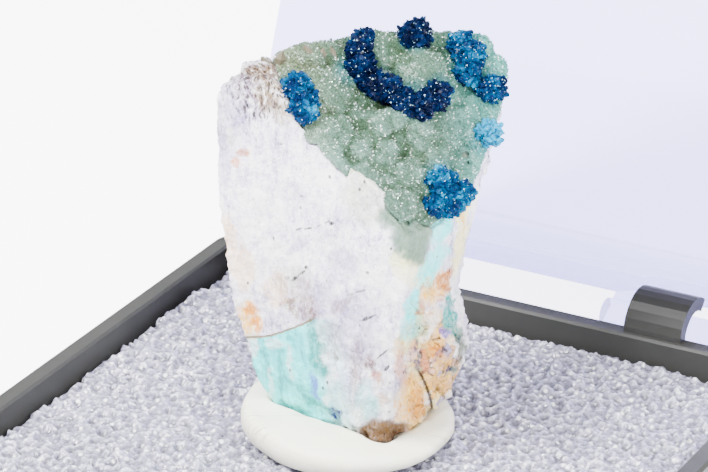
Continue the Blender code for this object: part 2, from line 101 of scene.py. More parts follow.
# Stains on the display side, from the bottom layer up: a name, a colour, how far grain breaks it up, and its
# marks. Each mark has its place to the right, height, half width, half height, turn in degrees and strength.
STAINS = (
    # the speckled corner, the ledge's brow and a few dull patches
    ("beige", BEIGE, 0.6, (
        (-4, 15.8, 1.35, 1.15, 25, 0.9),
        (-3.1, 14.8, 0.45, 0.9, 30, 0.75),
        (-5.3, 16.3, 0.7, 0.5, 25, 0.6),
        (-5.6, 14.2, 0.5, 1.3, 5, 0.3),
        (1.15, 12.25, 0.65, 0.18, -18, 0.85),
        (-2.6, 5.95, 0.2, 0.45, 25, 0.75),
        (0.4, 2.5, 0.35, 0.8, 10, 0.4),
        (5, 8.5, 0.1, 1.6, -14, 0.8),
    )),
    # the cool shade of the quartz
    ("lilac_grey", LILAC_GREY, 0.6, (
        (-4.9, 15.2, 0.9, 1.2, 0, 0.55),
        (-5.6, 12.6, 0.3, 1.5, 5, 0.5),
        (-1.4, 6.1, 0.3, 0.9, 0, 0.7),
        (-2.35, 8.55, 0.6, 0.28, 20, 0.8),
        (-0.2, 7.9, 0.7, 0.8, 0, 0.45),
        (0.2, 5.2, 1.1, 1.6, 0, 0.4),
    )),
    # the clear ledge under the druse, and the rock that its tail thins out on
    ("cream_grey", CREAM_GREY, 0.4, (
        (0.9, 11, 1.15, 1.5, 0, 0.45),
        (0.3, 12.1, 0.5, 0.16, 40, 0.9),
        (1.9, 11, 0.12, 1.3, 8, 0.9),
        (2.4, 9.5, 0.16, 1, 20, 0.7),
        (2.6, 8.2, 0.6, 0.55, 0, 0.8),
        (3.6, 9.7, 0.4, 0.6, -20, 0.8),
        (3.75, 6.45, 0.3, 0.35, 0, 0.7),
    )),
    # the pale strip down the right edge
    ("cream", CREAM, 0.3, (
        (2.9, 7.6, 1, 0.7, -30, 0.6),
        (5.2, 9.2, 0.28, 1.9, -10, 0.9),
        (2.6, 4.3, 0.16, 0.6, -10, 0.7),
    )),
    # soft rusty blushes on the left, and the crust of the right flank
    ("peach", PEACH, 0.5, (
        (-5.5, 8.9, 0.45, 1.2, 4, 0.4),
        (-4.8, 7.6, 0.5, 1.1, 8, 0.35),
        (-3.3, 6.6, 0.55, 0.9, 0, 0.3),
        (-4.55, 5.25, 0.46, 0.86, 6, 0.9),
        (5.35, 10.3, 0.1, 1.2, -8, 0.8),
        (3.95, 6.7, 0.6, 0.85, -42, 0.9),
        (3.95, 4.6, 0.6, 1, -10, 0.55),
        (4.3, 3.2, 0.4, 0.35, 0, 0.8),
        (4.25, 2.2, 0.5, 0.5, 0, 0.7),
        (2.9, 1.5, 0.75, 1.15, -12, 0.9),
    )),
    # clean patches in the crust
    ("white_rock", WHITE_ROCK, 0.3, (
        (-4.5, 4.0, 0.4, 0.5, 0, 0.55),
        (-3.3, 4.15, 0.4, 0.25, 0, 0.4),
        (-2.6, 3.4, 0.14, 0.9, 10, 0.4),
        (-0.9, 3.1, 0.3, 0.9, 14, 0.6),
        (-3.6, 2.3, 0.1, 0.8, 5, 0.35),
        (-0.95, 1.7, 0.25, 0.4, -20, 0.5),
        (3.75, 4.9, 0.2, 0.7, -28, 0.7),
        (2, 1.2, 0.2, 0.4, -20, 0.8),
    )),
    # the stains in the middle of the face
    ("pink_brown", PINK_BROWN, 0.6, (
        (1.42, 12.05, 0.22, 0.14, 0, 0.9),
        (-2.5, 7, 0.9, 0.7, -20, 0.4),
        (-2, 5.85, 0.6, 0.8, 12, 0.6),
        (-0.9, 4.4, 0.5, 0.8, 10, 0.3),
        (-1.75, 5.55, 0.2, 0.5, 8, 0.9),
        (-0.4, 6, 0.6, 0.25, 40, 0.4),
        (0.35, 3.6, 0.3, 0.9, 0, 0.4),
        (-0.55, 3.6, 0.08, 0.5, 5, 0.7),
        (0.95, 3.35, 0.2, 0.45, 30, 0.95),
        (1.9, 0.2, 0.6, 0.25, 10, 0.9),
    )),
    # the edge between the face and the flank
    ("yellow", YELLOW, 0.4, (
        (1.6, 1.7, 0.3, 0.35, 0, 0.3),
        (2.3, 4.15, 0.24, 0.6, -8, 0.7),
    )),
    # the pale bands down the flank
    ("aqua_pale", AQUA_PALE, 0.2, (
        (0.9, 1.5, 0.5, 0.9, 10, 0.25),
        (4.3, 9.9, 0.5, 1.3, -22, 0.9),
        (3.9, 7.9, 0.4, 1, -38, 0.9),
        (2.9, 5.9, 0.3, 0.8, -10, 0.9),
    )),
    # the middle of those bands
    ("aqua", AQUA, 0.4, (
        (1, 1.3, 0.2, 0.5, 0, 0.15),
        (4.35, 9.3, 0.22, 0.9, -22, 0.6),
        (3.35, 7, 0.3, 1, -34, 0.55),
        (2.8, 5, 0.45, 0.65, -20, 0.6),
        (4.5, 5.3, 0.12, 0.4, 22, 0.7),
    )),
    # the spot on the left edge, and the crust
    ("orange", ORANGE, 0.5, (
        (-5, 12.35, 0.22, 0.2, 0, 0.85),
        (-4.55, 5.75, 0.36, 0.3, -8, 0.9),
        (-4.25, 5.1, 0.12, 0.65, 4, 0.85),
        (4, 3.7, 0.35, 0.35, 0, 0.85),
        (2.35, 3.25, 0.18, 0.5, 5, 0.6),
        (3.15, 1.3, 0.4, 0.7, 0, 0.55),
        (2.6, 2.6, 0.35, 0.4, 0, 0.4),
    )),
    # streaks in the field, its lower edge and the flank's edge
    ("turquoise", TURQUOISE, 0.4, (
        (-1.5, 3.95, 0.36, 1.2, 14, 0.9),
        (-1.25, 3.2, 0.2, 0.55, 14, 1),
        (-4.35, 2.7, 0.14, 0.8, 14, 0.6),
        (-3.05, 3, 0.1, 1.2, 2, 0.4),
        (-2.3, 2.2, 0.7, 0.22, -30, 0.5),
        (-1.35, 1.35, 0.95, 0.22, -27, 0.85),
        (3.3, 4.9, 0.3, 0.6, -25, 0.35),
        (4.72, 6.2, 0.2, 0.55, -5, 1),
        (4.75, 5.1, 0.36, 0.8, 22, 1),
        (4.85, 2.85, 0.16, 0.2, 20, 0.8),
    )),
    # the rusty pocket and spots
    ("rust", RUST, 0.4, (
        (-4.77, 12.9, 0.24, 0.22, 0, 0.8),
        (1.4, 2.65, 0.18, 0.4, 25, 0.7),
        (4.4, 7.15, 0.32, 0.5, -25, 1),
        (4.6, 6.75, 0.2, 0.14, -30, 0.9),
        (3.75, 7, 0.08, 0.6, -48, 0.8),
        (3.25, 5.85, 0.2, 0.34, -20, 0.75),
        (4.25, 6.1, 0.1, 0.5, -35, 0.6),
        (2.25, 1, 0.05, 0.6, -20, 0.7),
    )),
    # the druse's tail, and a thin place in it
    ("tail_green", TAIL_GREEN, 0.1, (
        (2.5, 9.9, 1.1, 0.7, 0, 1),
        (2.75, 9.2, 0.95, 0.8, 10, 1),
        (3.05, 8.5, 0.62, 0.75, 12, 1),
        (5.35, 12.7, 0.5, 0.6, 0, 1),
    )),
    # the flake on the flank
    ("olive", OLIVE, 0.4, (
        (0.15, 0.15, 0.16, 0.3, 20, 0.7),
        (5.25, 3.95, 0.22, 0.8, 2, 0.9),
    )),
    # shade beside the flake
    ("dark_green", DARK_GREEN, 0.5, (
        (5, 4.3, 0.16, 0.4, 15, 0.9),
    )),
    # lilac-blue dust
    ("azurite_pale", AZURITE_PALE, 0.5, (
        (-1.7, 2.4, 0.2, 0.45, 10, 0.75),
        (-1.55, 1.9, 0.1, 0.3, 30, 0.8),
        (4.45, 4.6, 0.24, 0.26, 0, 0.85),
    )),
    # small blue patches
    ("azurite", AZURITE, 0.4, (
        (-0.6, 1.05, 0.36, 0.22, -42, 1),
        (4.3, 5.25, 0.07, 0.1, 0, 0.9),
        (4.65, 2.95, 0.22, 0.22, 20, 1),
        (3.2, 4.1, 0.1, 0.3, -10, 0.9),
        (3.1, 3.25, 0.16, 0.28, 10, 0.95),
        (2.85, 3.7, 0.08, 0.3, 0, 0.6),
        (3.95, 3.45, 0.26, 0.1, 25, 0.9),
        (1.95, 1.06, 0.07, 0.09, 0, 0.9),
        (2.52, 2.95, 0.08, 0.12, 0, 0.9),
    )),
    # the foot and a few holes
    ("brown", BROWN, 0.1, (
        (-3.7, 16.4, 0.7, 0.45, 10, 0.6),
        (-3.6, 15.1, 0.35, 0.5, 30, 0.55),
        (5.1, 3.4, 0.3, 0.12, 30, 0.8),
        (3.97, 4.3, 0.16, 0.09, 20, 0.95),
        (4.2, 2, 0.1, 0.2, -30, 0.7),
        (1.5, 0.1, 1.3, 0.55, 10, 1),
    )),
    # the underside of the foot
    ("dark_brown", DARK_BROWN, 0.5, (
        (4.4, 3.8, 0.1, 0.16, 0, 0.9),
        (3.4, 3.1, 0.1, 0.2, 30, 0.9),
        (1.4, -0.3, 0.9, 0.2, 5, 1),
    )),
)

# Dark flecks and needles, too fine to paint on the mesh: the same values as a stain's mark.
FLECKS = (
    (3.3, 3.65, 0.12, 0.2, 0, 0.9),
    (0.85, -0.5, 0.4, 0.08, -15, 0.9),
    (-4.51, 14.96, 0.06, 0.3, 25, 1),
    (-4.2, 14.5, 0.06, 0.14, 0, 1),
    (-2.2, 9.4, 0.18, 0.06, 15, 0.9),
    (-1.8, 9.42, 0.2, 0.055, 8, 0.95),
    (-0.73, 9.65, 0.12, 0.1, 0, 1),
    (-0.95, 9.7, 0.16, 0.05, 20, 0.8),
    (-1.3, 9.55, 0.1, 0.05, 0, 0.8),
    (-1.88, 7.66, 0.09, 0.09, 0, 1),
    (-2.42, 7.15, 0.2, 0.09, 38, 1),
    (-2.1, 7.4, 0.24, 0.055, 38, 1),
    (-2.75, 7.2, 0.14, 0.09, 0, 0.7),
    (0.87, 7.45, 0.09, 0.08, 0, 0.9),
    (0.1, 6.45, 0.22, 0.08, 20, 0.7),
    (0.55, 6.6, 0.24, 0.06, 12, 0.85),
    (0.8, 5.35, 0.17, 0.09, 28, 1),
    (1.05, 5.45, 0.24, 0.055, 28, 0.95),
    (1.55, 3.75, 0.36, 0.05, 42, 1),
    (1.75, 3.1, 0.2, 0.08, 50, 1),
)

# Cracks on the display side: a start, an end, the height or place at even steps between, and a half
# width. The first runs across and is drawn by its height; the second runs down.
CRACK_ACROSS = ((-5.1, -1.5), (4.42, 4.42, 4.5, 4.72, 5.0, 5.35), 0.032)
CRACK_DOWN = ((0.6, 2.95), (3.95, 3.85, 3.72, 3.5, 3.2), 0.04)

# The turquoise field lies under the crack, to the left of a line that leans right on its way down.
FIELD_EDGE = -1.5
FIELD_LEAN = 0.19

# Round lumps of the druse on the display side: right, height and radius.
LUMPS = (
    (1.5, 14.15, 0.62),
    (2.15, 14.4, 0.6),
    (0.5, 13.2, 0.66),
    (1.8, 12.85, 0.62),
    (3.45, 13.7, 0.85),
    (4.9, 14.0, 0.95),
    (4.2, 12.75, 0.75),
    (2.8, 12.0, 0.7),
    (-0.9, 13.6, 1.15),
    (-2.2, 16.6, 1.3),
    (-0.8, 15.6, 1.2),
    (0.6, 15.0, 0.75),
    (3.3, 16.7, 1.2),
    (5.6, 12.2, 0.8),
    (6.2, 14.9, 0.9),
    (2.3, 10.4, 0.8),
    (1.9, 17.6, 0.9),
    (7.0, 16.6, 0.9),
)

# Blue-green halos that the crystal groups leave on the druse: right, height and radius.
HALOS = (
    (-2.45, 15.8, 1.0),
    (-1.9, 14.9, 0.8),
    (0.55, 18.0, 0.8),
    (0.1, 16.6, 1.0),
    (1.5, 16.0, 1.0),
    (3.0, 15.3, 1.2),
    (4.2, 15.8, 0.9),
    (3.1, 18.2, 1.0),
    (5.4, 18.4, 1.1),
    (5.5, 17.0, 1.1),
    (6.5, 16.0, 1.1),
    (6.2, 13.4, 0.9),
    (4.1, 11.8, 1.0),
    (4.4, 10.8, 1.2),
)

# Smoky crystal points along the back left rim: right, away, up, width, length and lean in degrees.
RIM_POINTS = (
    (-3.5, 1.8, 17.5, 0.62, 0.8, -30),
    (-3.1, 2.0, 17.62, 0.55, 0.85, 12),
    (-2.72, 2.1, 17.5, 0.4, 0.7, -16),
    (-2.1, 2.35, 17.55, 0.46, 0.7, 22),
    (-1.66, 2.4, 17.75, 0.66, 0.85, -22),
    (-1.25, 2.5, 17.7, 0.42, 0.8, 14),
    (-0.66, 2.9, 17.62, 0.4, 0.7, -10),
)

# Blue crystal groups: the node that each stands for, and how light it is, from navy 0 to cyan 1.
CRYSTAL_TONES = {
    "blue_crystals_left": 0.62,
    "blue_crystals_arc": 0.26,
    "blue_crystals_back": 0.34,
    "blue_crystals_corner": 0.58,
    "blue_crystals_right": 0.5,
    "blue_crystals_edge": 0.96,
    "blue_crystals_front": 0.64,
}


class Value:
    """A node's output, on which Python's operators add Math nodes."""

    def __init__(self, tree, socket):
        self.tree = tree
        self.socket = socket

    def maths(self, operation, *others):
        values = {0: self, **{i + 1: other for i, other in enumerate(others)}}
        return self.tree.value("ShaderNodeMath", {"operation": operation}, values)

    def __add__(self, other):
        return self.maths("ADD", other)

    __radd__ = __add__

    def __sub__(self, other):
        return self.maths("SUBTRACT", other)

    def __rsub__(self, other):
        return (self * -1) + other

    def __mul__(self, other):
        return self.maths("MULTIPLY", other)

    __rmul__ = __mul__

    def __truediv__(self, other):
        return self.maths("DIVIDE", other)

    def __pow__(self, other):
        return self.maths("POWER", other)

    def size(self):
        return self.maths("ABSOLUTE")

    def clamp(self):
        return self.tree.value("ShaderNodeClamp", None, {"Value": self})

    def length(self):
        return self.tree.value("ShaderNodeVectorMath", {"operation": "LENGTH"}, {0: self})

    def most(self, other):
        return self.maths("MAXIMUM", other)

    def least(self, other):
        return self.maths("MINIMUM", other)

    def rise(self, low, high, top=1.0):
        """0 below low, top above high and a smooth rise between, or a fall where low is over high."""
        settings = {"interpolation_type": "SMOOTHSTEP"}
        values = {"Value": self, "From Min": low, "From Max": high, "To Max": top}
        return self.tree.value("ShaderNodeMapRange", settings, values)


class Tree:
    """A node tree, and the one way in which nodes are added to it."""

    def __init__(self, tree):
        self.tree = tree

    def node(self, kind, settings=None, values=None):
        made = self.tree.nodes.new(kind)
        for name, setting in (settings or {}).items():
            if name == "stops":
                set_stops(made.color_ramp.elements, setting)
            elif name == "curve":
                set_curve(made.mapping, setting)
            else:
                setattr(made, name, setting)
        for name, value in (values or {}).items():
            socket = self.open_socket(made.inputs, name)
            if isinstance(value, Value):
                self.tree.links.new(value.socket, socket)
            else:
                socket.default_value = value
        return made

    def value(self, kind, settings=None, values=None, output=None):
        made = self.node(kind, settings, values)
        return Value(self, self.open_socket(made.outputs, output))

    def open_socket(self, sockets, name):
        """A socket by its number or name, or the first one, among those that the node's settings open."""
        usable = [socket for socket in sockets if socket.enabled]
        if isinstance(name, int):
            return usable[name]
        return next(socket for socket in usable if name in (None, socket.name))


def set_stops(elements, stops):
    while len(elements) < len(stops):
        elements.new(0.5)
    for element, (place, colour) in zip(elements, stops):
        element.position = place
        element.color = colour


def set_curve(mapping, heights):
    points = mapping.curves[0].points
    while len(points) < len(heights):
        points.new(0.5, 0.5)
    for i, (point, height) in enumerate(zip(points, heights)):
        point.location = (i / (len(heights) - 1), height)
    mapping.update()


class Finish(Tree):
    """A material whose patterns lie in the specimen's own directions, in millimetres."""

    def __init__(self, name):
        self.material = bpy.data.materials.new(name)
        self.material.use_nodes = True
        super().__init__(self.material.node_tree)
        self.tree.nodes.clear()
        self.shader = self.node("ShaderNodeBsdfPrincipled")
        self.surface(Value(self, self.shader.outputs[0]))

    def surface(self, value):
        self.node("ShaderNodeOutputMaterial", None, {"Surface": value})

    def place(self, turned=True):
        """Object coordinates in millimetres, turned to the specimen's own directions."""
        turn = -SPECIMEN_TURN if turned else 0.0
        middle = Matrix.Rotation(turn, 3, "Z") @ SPECIMEN_AT if turned else Vector()
        values = {
            "Vector": self.value("ShaderNodeTexCoord", None, None, "Object"),
            "Location": -middle,
            "Rotation": (0, 0, turn),
            "Scale": (1000, 1000, 1000),
        }
        return self.value("ShaderNodeMapping", None, values)

    def parts(self, vector):
        split = self.node("ShaderNodeSeparateXYZ", None, {"Vector": vector})
        return [Value(self, socket) for socket in split.outputs]

    def join(self, x, y, z=0.0):
        return self.value("ShaderNodeCombineXYZ", None, {"X": x, "Y": y, "Z": z})

    def noise(self, vector, scale, detail=4.0, roughness=0.55, output="Fac"):
        values = {"Vector": vector, "Scale": scale, "Detail": detail, "Roughness": roughness}
        return self.value("ShaderNodeTexNoise", None, values, output)

    def cells(self, vector, scale, feature="F1", output="Distance", randomness=1.0):
        values = {"Vector": vector, "Scale": scale, "Randomness": randomness}
        return self.value("ShaderNodeTexVoronoi", {"feature": feature}, values, output)

    def vectors(self, operation, a, b=None, scale=None):
        values = {0: a}
        if b is not None:
            values[1] = b
        if scale is not None:
            values["Scale"] = scale
        return self.value("ShaderNodeVectorMath", {"operation": operation}, values)

    def oval(self, vector, x, y, half_width, half_height, turn):
        """0 in the middle of a turned oval and 1 on its edge, growing as a square."""
        cos, sin = math.cos(math.radians(turn)), math.sin(math.radians(turn))
        across = self.vectors("DOT_PRODUCT", vector, (cos / half_width, sin / half_width, 0))
        along = self.vectors("DOT_PRODUCT", vector, (-sin / half_height, cos / half_height, 0))
        across = across - (x * cos + y * sin) / half_width
        along = along - (y * cos - x * sin) / half_height
        return across * across + along * along

    def attribute(self, name):
        return self.value("ShaderNodeAttribute", {"attribute_name": name}, None, "Fac")

    def curve(self, value, heights):
        """A smooth line through heights at even steps, along a value from 0 to 1."""
        low, high = min(heights), max(heights)
        shares = [(height - low) / (high - low) for height in heights]
        drawn = self.value("ShaderNodeFloatCurve", {"curve": shares}, {"Value": value})
        return drawn * (high - low) + low

    def wobble(self, vector, scale, amount):
        """The vector pushed about by noise."""
        push = self.vectors("SUBTRACT", self.noise(vector, scale, 3.0, 0.6, "Color"), (0.5, 0.5, 0.5))
        return self.vectors("ADD", vector, self.vectors("SCALE", push, None, amount))

    def mix(self, share, first, second):
        values = {"Factor": share, "A": first, "B": second}
        return self.value("ShaderNodeMix", {"data_type": "RGBA"}, values)

    def ramp(self, value, stops):
        return self.value("ShaderNodeValToRGB", {"stops": stops}, {"Fac": value}, "Color")

    def bump(self, height, distance, strength=1.0, under=None):
        values = {"Height": height, "Distance": distance, "Strength": strength}
        if under is not None:
            values["Normal"] = under
        return self.value("ShaderNodeBump", None, values)

    def set(self, **inputs):
        """Sets the shader's inputs, named with underscores for spaces, to values or links."""
        for name, value in inputs.items():
            socket = self.shader.inputs[name.replace("_", " ")]
            if isinstance(value, Value):
                self.tree.links.new(value.socket, socket)
            else:
                socket.default_value = value
        return self.material


def rock_finish():
    """White rock with lilac, aqua and rusty stains, placed marks on its display side, and dark flecks."""
    finish = Finish("pale_rock")
    place = finish.place()
    right, away, up = finish.parts(place)
    height = up * math.cos(FACING_DOWN) + away * math.sin(FACING_DOWN)
    cloud = finish.noise(place, 0.35, 4.0, 0.6)
    grain = finish.noise(finish.vectors("MULTIPLY", place, (3.2, 3.2, 1.3)), 1.0, 5.0, 0.65)
    fine = finish.noise(place, 9.0, 4.0, 0.7)
    front = (away - (right + 5.0) * 0.31 - (right - 2.5).most(0) * 0.6).rise(1.7, 0.9)
    hidden = 1 - front

    mottle = cloud * 0.35 + grain * 0.4 + fine * 0.35
    colour = finish.ramp(mottle, ((0.43, ROCK_SHADE), (0.52, paint(216, 210, 232)), (0.6, WHITE_ROCK)))
    stains = finish.noise(finish.vectors("ADD", place, (4, 9, 2)), 0.3, 4.0, 0.6, "Color")
    aqua_share, orange_share, pink_share = finish.parts(stains)
    colour = finish.mix(aqua_share.rise(0.5, 0.66) * hidden * up.rise(9.0, 3.0) * 0.8, colour, AQUA)
    colour = finish.mix(orange_share.rise(0.55, 0.7) * hidden * 0.7, colour, PEACH)
    colour = finish.mix(pink_share.rise(0.5, 0.66) * fine.rise(0.44, 0.58) * up.rise(10.0, 7.0) * 0.6, colour, PINK_BROWN)

    (start, end), heights, half = CRACK_ACROSS
    line = finish.curve(((right - start) / (end - start)).clamp(), heights)
    crack_level = height - line + (fine - 0.5) * 0.15
    fibres = finish.noise(finish.join(right * 3.2 + height * 0.6, height * 0.5, away * 1.5), 1.0, 5.0, 0.65)
    field_right = right - FIELD_EDGE - (5.1 - height) * FIELD_LEAN + (fibres - 0.5) * 0.8
    under = crack_level.rise(0.03, -0.05) * front
    field = finish.ramp(fibres, ((0.36, AQUA_PALE), (0.52, AQUA), (0.7, paint(10, 156, 156))))
    colour = finish.mix(under * field_right.rise(1.5, 0.1) * 0.4, colour, AQUA_PALE)
    colour = finish.mix(under * field_right.rise(0.5, -0.8) * 0.9, colour, field)

    crust = right.rise(2.4, 2.9) * (height + (right - 3.0) * 0.6).rise(6.6, 5.6) * height.rise(-0.6, 0.2)
    crust = crust * right.rise(5.4, 5.0)
    shifted = finish.wobble(place, 1.7, 0.6)
    chips = finish.parts(finish.cells(shifted, 1.6, "F1", "Color"))[0]
    patches = finish.ramp(chips, (
        (0.0, PEACH),
        (0.25, CREAM),
        (0.4, ORANGE),
        (0.55, WHITE_ROCK),
        (0.75, PEACH),
        (1.0, LILAC_GREY),
    ))
    colour = finish.mix(crust * 0.8, colour, patches)
    veins = finish.cells(shifted, 1.6, "DISTANCE_TO_EDGE").rise(0.07, 0.0) * grain.rise(0.42, 0.58) * crust
    colour = finish.mix(veins * 0.8, colour, BROWN)

    broken = finish.noise(finish.vectors("MULTIPLY", place, (7.0, 7.0, 3.5)), 1.0, 5.0, 0.7).rise(0.4, 0.6)
    for name, stain, grained, marks in STAINS:
        share = finish.attribute(name)
        share = share - share * broken * grained
        colour = finish.mix(share * front, colour, stain)
    face = finish.wobble(finish.join(right, height), 7.0, 0.1)
    dark = None
    for x, y, half_width, half_height, turn, strength in FLECKS:
        share = finish.oval(face, x, y, half_width, half_height, turn).rise(1.44, 0.42, strength)
        dark = share if dark is None else dark.most(share)
    colour = finish.mix((dark - dark * broken * 0.35) * front, colour, BLACK)

    shown = crack_level.size().rise(half * 2.2, half * 0.6) * right.rise(end + 0.1, end - 0.2) * front
    crack = shown * right.rise(start - 0.1, start + 0.2)
    colour = finish.mix(crack * 0.85, colour, GOLD)
    (start, end), places, half = CRACK_DOWN
    line = finish.curve(((height - start) / (end - start)).clamp(), places)
    across = (right - line + (fine - 0.5) * 0.3).size()
    split = across.rise(half * 2.4, half * 0.8) * height.rise(end + 0.1, end - 0.2) * front
    split = split * height.rise(start - 0.1, start + 0.2)
    colour = finish.mix(split * 0.9, colour, DARK_BROWN)

    flecks = finish.cells(finish.vectors("MULTIPLY", place, (1, 1, 0.7)), 2.0)
    chosen = finish.noise(finish.vectors("ADD", place, (9, 1, 5)), 0.7, 2.0)
    colour = finish.mix(flecks.rise(0.17, 0.09) * chosen.rise(0.48, 0.58) * 0.85, colour, DARK_BROWN)
    specks = finish.cells(place, 6.0)
    colour = finish.mix(specks.rise(0.2, 0.1) * (crust + 0.12).least(1) * 0.7, colour, DARK_BROWN)
    corner = finish.vectors("SUBTRACT", finish.join(right, height), (-4.0, 15.7, 0)).length()
    straws = finish.cells(finish.vectors("MULTIPLY", finish.wobble(place, 1.0, 0.8), (7, 7, 1.8)), 1.0)
    colour = finish.mix(straws.rise(0.5, 0.24) * corner.rise(2.3, 1.0) * 0.9, colour, DARK_BROWN)
    colour = finish.mix(straws.rise(0.65, 0.9) * corner.rise(2.0, 0.9) * 0.7, colour, WHITE_ROCK)

    rough = fine * 0.3 + 0.35
    relief = finish.bump(fine, 0.00008, 0.8)
    relief = finish.bump(grain, 0.00022, 0.7, relief)
    relief = finish.bump((crack + split + veins) * -1, 0.00008, 1.0, relief)
    return finish.set(Base_Color=colour, Roughness=rough, Normal=relief, Specular_IOR_Level=0.35)


def druse_finish():
    """Grey-green crust with painted light and shade: paler on its lumps, olive in its valleys and darker over its top
    and towards its lower edge; bluer at the right edge, with pale grains as painted glints.
    """
    finish = Finish("druse_green")
    place = finish.place()
    right, away, up = finish.parts(place)
    height = up * math.cos(FACING_DOWN) + away * math.sin(FACING_DOWN)
    tone = finish.attribute("tone")
    hollow = finish.attribute("hollow")
    glint = finish.attribute("glint")
    broad = finish.noise(place, 0.45, 3.0, 0.5)
    # Painted shade and light: darker in the hollows and paler on the crests, from the stored hollow values.
    shade = 0.37 + (tone - 0.5) * 0.4 + (broad - 0.5) * 0.3 - (hollow - 0.5).most(-0.2) * 0.75
    # Painted shade: the druse's top is darker, and it is darker towards its lower edge.
    shade = shade - up.rise(14.5, 17.0) * 0.19 - height.rise(12.5, 10.5) * 0.13
    colour = finish.ramp(shade, (
        (0.0, paint(44, 62, 42)),
        (0.25, paint(62, 88, 68)),
        (0.5, paint(86, 116, 103)),
        (0.75, paint(118, 152, 140)),
        (1.0, paint(176, 208, 200)),
    ))
    colour = finish.mix(right.rise(3.5, 7.0) * 0.5, colour, paint(74, 156, 152))
    colour = finish.mix(right.rise(0.0, -3.4) * 0.35, colour, paint(140, 138, 106))
    halo = None
    for x, y, radius in HALOS:
        spot = finish.vectors("SUBTRACT", finish.join(right, height), (x, y, 0)).length().rise(radius, radius * 0.35)
        halo = spot if halo is None else halo.most(spot)
    colour = finish.mix(halo * 0.35, colour, paint(10, 110, 130))
    # Painted glints: a few grains mixed towards near white.
    colour = finish.mix(glint.rise(0.91, 0.95) * 0.8, colour, paint(230, 244, 240))
    colour = finish.mix(tone.rise(0.15, 0.05) * 0.8, colour, paint(98, 88, 74))
    shine = glint.rise(0.7, 0.8)
    return finish.set(
        Base_Color=colour, Roughness=0.3, Specular_IOR_Level=0.25, Coat_Weight=shine, Coat_Roughness=0.06
    )


def blue_finish():
    """Vitreous blue, from navy through royal blue to cyan where the crystals are thin, with painted glints on a few
    crystals.
    """
    finish = Finish("crystal_blue")
    place = finish.place()
    tone = finish.attribute("tone")
    glint = finish.attribute("glint")
    patch = finish.noise(place, 1.3, 2.0, 0.5)
    shade = tone + (patch - 0.5) * 1.1
    colour = finish.ramp(shade, (
        (0.0, paint(2, 6, 26)),
        (0.25, paint(3, 14, 44)),
        (0.5, paint(3, 34, 72)),
        (0.75, paint(3, 72, 110)),
        (1.0, paint(2, 138, 176)),
    ))
    # Painted glints: a few crystals mixed towards pale cyan-white.
    colour = finish.mix(glint.rise(0.91, 0.94) * 0.7, colour, paint(176, 214, 232))
    shine = glint.rise(0.78, 0.88) * 0.5
    return finish.set(
        Base_Color=colour, Roughness=0.35, Specular_IOR_Level=0.04, Coat_Weight=shine, Coat_Roughness=0.1
    )


def foam_finish():
    """White foam with painted shade, grey-lilac, in its hollows and painted glints as white specks, with a
    wet-looking shine on its cell walls.
    """
    finish = Finish("white_foam")
    place = finish.place(False)
    hollow = finish.attribute("hollow")
    patch = finish.noise(place, 0.5, 3.0, 0.5)
    fine = finish.noise(place, 6.0, 3.0, 0.6)
    # Painted glints: small cells, picked by noise, are mixed to white below.
    painted_glints = finish.cells(place, 2.3)
    picked = finish.noise(finish.vectors("ADD", place, (2, 6, 1)), 1.4, 2.0)
    # Painted shade: darker in the hollows, from the stored hollow values.
    shade = 0.5 + (patch - 0.5) * 0.3 + (fine - 0.5) * 0.9 - (hollow - 0.5) * 0.7
    colour = finish.ramp(shade, (
        (0.0, paint(52, 52, 60)),
        (0.3, paint(96, 94, 110)),
        (0.6, paint(144, 142, 164)),
        (0.85, paint(208, 208, 224)),
        (1.0, paint(246, 246, 252)),
    ))
    colour = finish.mix(painted_glints.rise(0.34, 0.14) * picked.rise(0.42, 0.54), colour, paint(255, 255, 255))
    relief = finish.bump(fine, 0.00012, 0.9)
    return finish.set(
        Base_Color=colour, Roughness=0.14, Normal=relief, Specular_IOR_Level=0.7, Coat_Weight=0.9, Coat_Roughness=0.04
    )


def putty_finish():
    """Cream putty with a few scratches and specks of grit."""
    finish = Finish("cream_putty")
    place = finish.place()
    cloud = finish.noise(place, 0.6, 3.0, 0.5)
    grit = finish.cells(place, 2.2)
    chosen = finish.noise(place, 1.3, 2.0)
    scratched = finish.wobble(place, 0.6, 0.5)
    lines = finish.cells(finish.vectors("MULTIPLY", scratched, (0.35, 4.5, 0.35)), 0.9, "DISTANCE_TO_EDGE")
    picked = finish.noise(finish.vectors("ADD", place, (3, 5, 7)), 0.5, 2.0)
    scratch = lines.rise(0.03, 0.0) * picked.rise(0.56, 0.66)
    colour = finish.mix(cloud, paint(243, 240, 214), paint(250, 248, 234))
    colour = finish.mix(grit.rise(0.07, 0.03) * chosen.rise(0.54, 0.62), colour, paint(150, 136, 112))
    colour = finish.mix(scratch * 0.5, colour, paint(196, 192, 174))
    relief = finish.bump(finish.noise(place, 3.0, 4.0, 0.6), 0.00005, 0.5)
    relief = finish.bump(scratch * -1, 0.00004, 0.8, relief)
    return finish.set(Base_Color=colour, Roughness=0.55, Normal=relief, Specular_IOR_Level=0.4)


